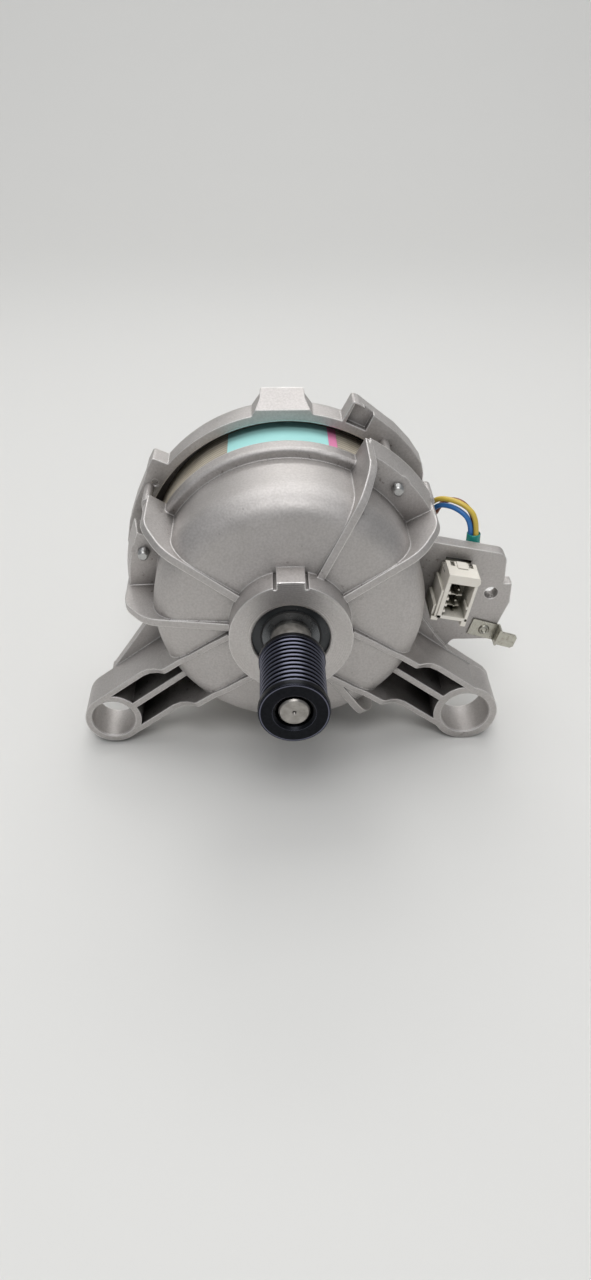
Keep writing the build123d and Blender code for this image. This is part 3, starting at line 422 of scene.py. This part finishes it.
BOLT_CIRCLE_R = 58.6
for number, degrees in enumerate((45, 165, 285), 1):
    angle = math.radians(degrees)
    ridge = thread(f"bolt_thread_{number}", BOLT_CIRCLE_R * math.cos(angle),
                   BOLT_CIRCLE_R * math.sin(angle), y_from=64.7, y_to=67.9, radius=1.98,
                   pitch=0.7, height=0.2)
    dress(ridge, materials["zinc_steel"])
    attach(ridge, "stator")


def turned_piece(name, profile, centre, segments, material_slot, body, upright=False):
    """Sweeps a profile of (radius, place along the axis) in millimetres round that axis.

    The axis runs along y through a centre (x, z), or upright along z through a centre (x, y).
    Each run of the profile has points of its own, so its corners stay crisp.
    """
    points, faces = [], []
    for (r0, h0), (r1, h1) in zip(profile, profile[1:]):
        first = len(points)
        for k in range(segments):
            c, d = math.cos(2 * math.pi * k / segments), math.sin(2 * math.pi * k / segments)
            for r, h in ((r0, h0), (r1, h1)):
                across, up = centre[0] + r * c, centre[1] + r * d
                points.append((across, up, h) if upright else (across, h, up))
        for k in range(segments):
            a, b = first + 2 * k, first + 2 * ((k + 1) % segments)
            faces.append((b, b + 1, a + 1, a) if upright else (a, a + 1, b + 1, b))
    piece = put_mesh(name, points, faces, smooth=True)
    dress(piece, materials[material_slot])
    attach(piece, body)
    return piece


SHAFT_AXIS = (0.0, 0.0)

# The belt pulley, with its ribs' crests rounded and its mouth chamfered
RIB_PITCH, RIBS = 2.34, 11
GROOVE_R, GROOVE_HALF = 9.75, 0.2
crest = [(11.3, -0.52), (11.42, -0.42), (11.58, -0.02), (11.63, 0.2), (11.56, 0.38), (11.35, 0.5)]
front_collar = [(5.45, -13.2), (6.2, -14.3), (6.5, -14.95), (7.4, -15.77), (11.85, -15.77),
                (12.15, -15.62), (12.33, -15.25), (12.38, -14.6), (12.38, -13.15), (12.1, -12.87)]
rear_collar = [(12.0, 12.87), (12.0, 14.9), (11.5, 15.37), (5.45, 15.37), (5.45, -13.2)]
rim = list(front_collar)
for rib in range(RIBS):
    y = RIB_PITCH * (rib + 0.5 - RIBS / 2)
    rim.append((GROOVE_R, y - RIB_PITCH / 2 + GROOVE_HALF))
    rim += [(r, y + shift) for r, shift in crest]
    rim.append((GROOVE_R, y + RIB_PITCH / 2 - GROOVE_HALF))
rim += rear_collar
pulley = turned_piece("drive_pulley_turned", rim, SHAFT_AXIS, segments=144,
                      material_slot="blackened_steel", body="rotor")
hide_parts("drive_pulley")

# The lip of the bearing's seal, a thin ring of matt black rubber whose black also stands in for the
# shade of the gap round the inner race
seal_profile = [(10.72, 29.6), (10.8, 29.45), (11.1, 29.4), (11.3, 29.5), (11.36, 29.95),
                (10.72, 29.6)]
turned_piece("seal_lip_and_gap_shade", seal_profile, SHAFT_AXIS, segments=96, material_slot="guide_rubber",
             body="stator")

# The journal behind the pulley, where the shaft's ground skin has gone matt and spotted, with
# painted shade towards the bearing and the pulley
journal_profile = [(7.4, 15.4), (7.56, 15.5), (7.56, 27.4), (7.4, 27.6), (7.4, 15.4)]
journal = turned_piece("journal_band", journal_profile, SHAFT_AXIS, segments=96,
                       material_slot="shaft_steel", body="rotor")
dress(journal, spotted("rubbed_journal_steel", "D0CBC4", "4E4A45", size=0.0028, roughness=0.6,
                       relief=0.0002, metallic=0.7, painted_shade="191817", reach=0.003))

# A cast mark on the rear shield's left ear, a shallow dish with a fine rim
MARK_CENTRE = (-52.5, 34.09)
mark_profile = [(0.0, 90.1), (1.3, 90.1), (1.5, 89.8), (1.65, 89.8), (1.75, 89.95)]
turned_piece("ear_mark", mark_profile, MARK_CENTRE, segments=32, material_slot="cast_aluminium",
             body="stator")

# The earth rivet, a spread ring with a dimple in it
RIVET_CENTRE = (81.0, -24.2)
rivet_profile = [(0.0, 67.9), (0.9, 67.85), (1.25, 67.4), (1.6, 67.25), (1.95, 67.4), (2.3, 68.05),
                 (1.2, 68.1), (1.2, 72.0)]
rivet = turned_piece("earth_rivet_spread", rivet_profile, RIVET_CENTRE, segments=40,
                     material_slot="tinned_brass", body="stator")
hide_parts("earth_rivet")

# The leads' sleeve, shrunk tight and rolled at its top edge
SLEEVE_CENTRE = (74.9, 79.3)
sleeve_profile = [(2.42, 10.8), (2.42, 15.0), (2.5, 15.3), (2.62, 15.3), (2.78, 15.1), (2.85, 10.8)]
sleeve = turned_piece("lead_sleeve_shrunk", sleeve_profile, SLEEVE_CENTRE, segments=40,
                      material_slot="sleeve_teal", body="stator", upright=True)
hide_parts("lead_sleeve")


def moulding(name, blocks, centre, tilt, bevel, material_slot):
    """Draws blocks out along the shaft, turned by tilt round centre, and bevels their edges.

    A block is its outline of (x, z) points about the centre and its two ends along y, all in
    millimetres.
    """
    points, faces = [], []
    for outline, y_from, y_to in blocks:
        first, n = len(points), len(outline)
        for y in (y_from, y_to):
            for x, z in outline:
                points.append((centre[0] + x * math.cos(tilt) + z * math.sin(tilt), y,
                               centre[1] + z * math.cos(tilt) - x * math.sin(tilt)))
        faces.append(tuple(range(first, first + n)))
        faces.append(tuple(range(first + 2 * n - 1, first + n - 1, -1)))
        faces += [(first + (i + 1) % n, first + i, first + n + i, first + n + (i + 1) % n)
                  for i in range(n)]
    piece = put_mesh(name, points, faces)
    rounding = piece.modifiers.new("rounding", "BEVEL")
    rounding.width = bevel * MM
    rounding.segments = 2
    dress(piece, materials[material_slot])
    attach(piece, "stator")
    return piece


def box_outline(x0, x1, z0, z1):
    """A rectangle's four corners."""
    return [(x0, z0), (x1, z0), (x1, z1), (x0, z1)]


# The connector, in its own upright frame: its walls' outer faces, and along the shaft its mouth,
# the end of its front band, the floor of its socket and the plate's front face
CONNECTOR_CENTRE, CONNECTOR_TILT = (65.8, -0.6), math.radians(11.0)
LEFT, RIGHT, BOTTOM, TOP = -6.2, 6.3, -9.4, 10.8
FRONT, BAND_END, FLOOR, PLATE = 53.9, 61.5, 65.9, 68.9
TOOTH_LENGTH = 6
housing = [
    # front band and top, with a facet at the right and a step down towards the plate
    ([(LEFT, 6.9), (6.1, 6.9), (6.9, 8.6), (6.5, 10.3), (5.9, TOP), (LEFT, TOP)],
     FRONT, BAND_END + 0.1),
    (box_outline(LEFT, -4.4, 6.9, TOP), BAND_END, 65.2),
    (box_outline(4.7, RIGHT, 6.9, TOP), BAND_END, 65.2),
    (box_outline(LEFT, RIGHT, 6.9, 8.0), BAND_END, PLATE),
    # latch between the two back notches
    (box_outline(-2.9, 3.0, 7.9, 10.9), BAND_END, 65.0),
    (box_outline(-2.0, 2.2, 10.7, 11.3), 59.6, 64.8),
    # left and right walls, the bottom wall and the floor of the socket
    (box_outline(LEFT, -4.4, BOTTOM, 7.0), FRONT, PLATE),
    (box_outline(5.0, RIGHT, BOTTOM, 7.0), FRONT, PLATE),
    (box_outline(LEFT, RIGHT, BOTTOM, -7.9), FRONT, PLATE),
    (box_outline(LEFT, RIGHT, BOTTOM, 8.0), FLOOR, PLATE),
    # rails on the left side and feet below
    (box_outline(-7.2, -6.0, -9.7, 3.0), FRONT + 0.5, PLATE),
    ([(-7.0, -10.2), (-8.3, -9.9), (-8.3, -4.6), (-7.0, -4.0)], FRONT + 1.4, PLATE),
    (box_outline(-8.3, -5.4, -10.6, -9.0), FRONT + 0.1, PLATE),
    (box_outline(4.2, RIGHT, -11.6, -9.0), FRONT, PLATE),
    # tail through the plate
    (box_outline(-5.3, 5.3, -10.2, 8.6), PLATE - 0.1, 82.9),
]
# four teeth inside the left wall and one inside the right
housing += [(box_outline(-4.5, -3.5, z - 0.6, z + 0.6), FRONT, FRONT + TOOTH_LENGTH)
            for z in (2.6, -0.2, -3.0, -5.8)]
housing += [(box_outline(4.3, 5.1, -3.9, -2.5), FRONT, FRONT + TOOTH_LENGTH)]
shell = moulding("connector_housing_moulded", housing, CONNECTOR_CENTRE, CONNECTOR_TILT,
                 bevel=0.22, material_slot="ivory_nylon")
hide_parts("connector_housing")
# three thin ribs across the socket, set back from its mouth
for number, z in enumerate((4.2, -0.8, -5.8), 1):
    moulding(f"socket_rib_{number}", [(box_outline(-3.4, 3.0, z - 0.3, z + 0.3), 59.6, 65.8)],
             CONNECTOR_CENTRE, CONNECTOR_TILT, bevel=0.1, material_slot="ivory_nylon")

# The grommet through which the leads leave, its outline about its own centre
GUIDE_CENTRE, GUIDE_TILT = (55.0, 18.2), math.radians(-18.3)
guide_outline = [(-3.2, -4.6), (2.6, -4.6), (3.2, -4.0), (3.2, 4.0), (2.6, 4.6), (-3.2, 4.6)]
grommet = moulding("lead_guide_moulded", [(guide_outline, 90.2, 96.6)], GUIDE_CENTRE, GUIDE_TILT,
                   bevel=0.5, material_slot="guide_rubber")
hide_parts("lead_guide")


# Floor and backdrop in one pale sweep, in metres
HALF_WIDTH, NEAR_EDGE, TOP_EDGE = 2.6, -1.6, 2.6
BEND_FROM, BEND_RADIUS, BEND_STEPS = 0.9, 0.5, 8
floor_z = cad_box[0].z
sweep = [(NEAR_EDGE, 0.0), (BEND_FROM, 0.0)]
for step in range(1, BEND_STEPS + 1):
    turn = math.radians(90 * step / BEND_STEPS)
    sweep.append((BEND_FROM + BEND_RADIUS * math.sin(turn), BEND_RADIUS * (1 - math.cos(turn))))
sweep.append((BEND_FROM + BEND_RADIUS, TOP_EDGE))
count = len(sweep)
floor = put_mesh("studio_sweep",
                 [(x, y, floor_z + z) for x in (-HALF_WIDTH, HALF_WIDTH) for y, z in sweep],
                 [(i, i + 1, count + i + 1, count + i) for i in range(count - 1)],
                 unit=1.0, smooth=True)
# Matt studio paper, pale grey
paper, paper_shader, _ = new_material("studio_paper")
feed(paper_shader, {"Base Color": linear("E2E1DE"), "Roughness": 0.9})
dress(floor, paper)


# Lights: a soft box overhead, a faint narrow one behind the motor and a weaker one in front
LIT_POINT = Vector((0, 0.05, 0))


def soft_box(name, place, width, height, power, spread=180.0):
    """A rectangular lamp that faces the motor, in metres, watts and degrees."""
    lamp = bpy.data.lights.new(name, "AREA")
    lamp.shape = "RECTANGLE"
    lamp.size, lamp.size_y = width, height
    lamp.energy = power
    lamp.spread = math.radians(spread)
    light = put(name, lamp)
    light.location = place
    light.rotation_mode = "QUATERNION"
    light.rotation_quaternion = (Vector(place) - LIT_POINT).to_track_quat("Z", "Y")


soft_box("overhead_box", (-0.05, 0.40, 1.70), width=1.9, height=1.3, power=16.0)
soft_box("back_box", (0.02, 1.05, 0.78), width=0.7, height=0.2, power=0.35, spread=70.0)
soft_box("front_box", (-0.04, -0.92, 1.30), width=0.7, height=0.5, power=7.5)
world = bpy.data.worlds.new("studio_air")
bpy.context.scene.world = world
world.use_nodes = True
feed(world.node_tree.nodes["Background"], {"Color": linear("DDE0E4"), "Strength": 0.42})
bpy.context.scene.view_settings.view_transform = "Standard"
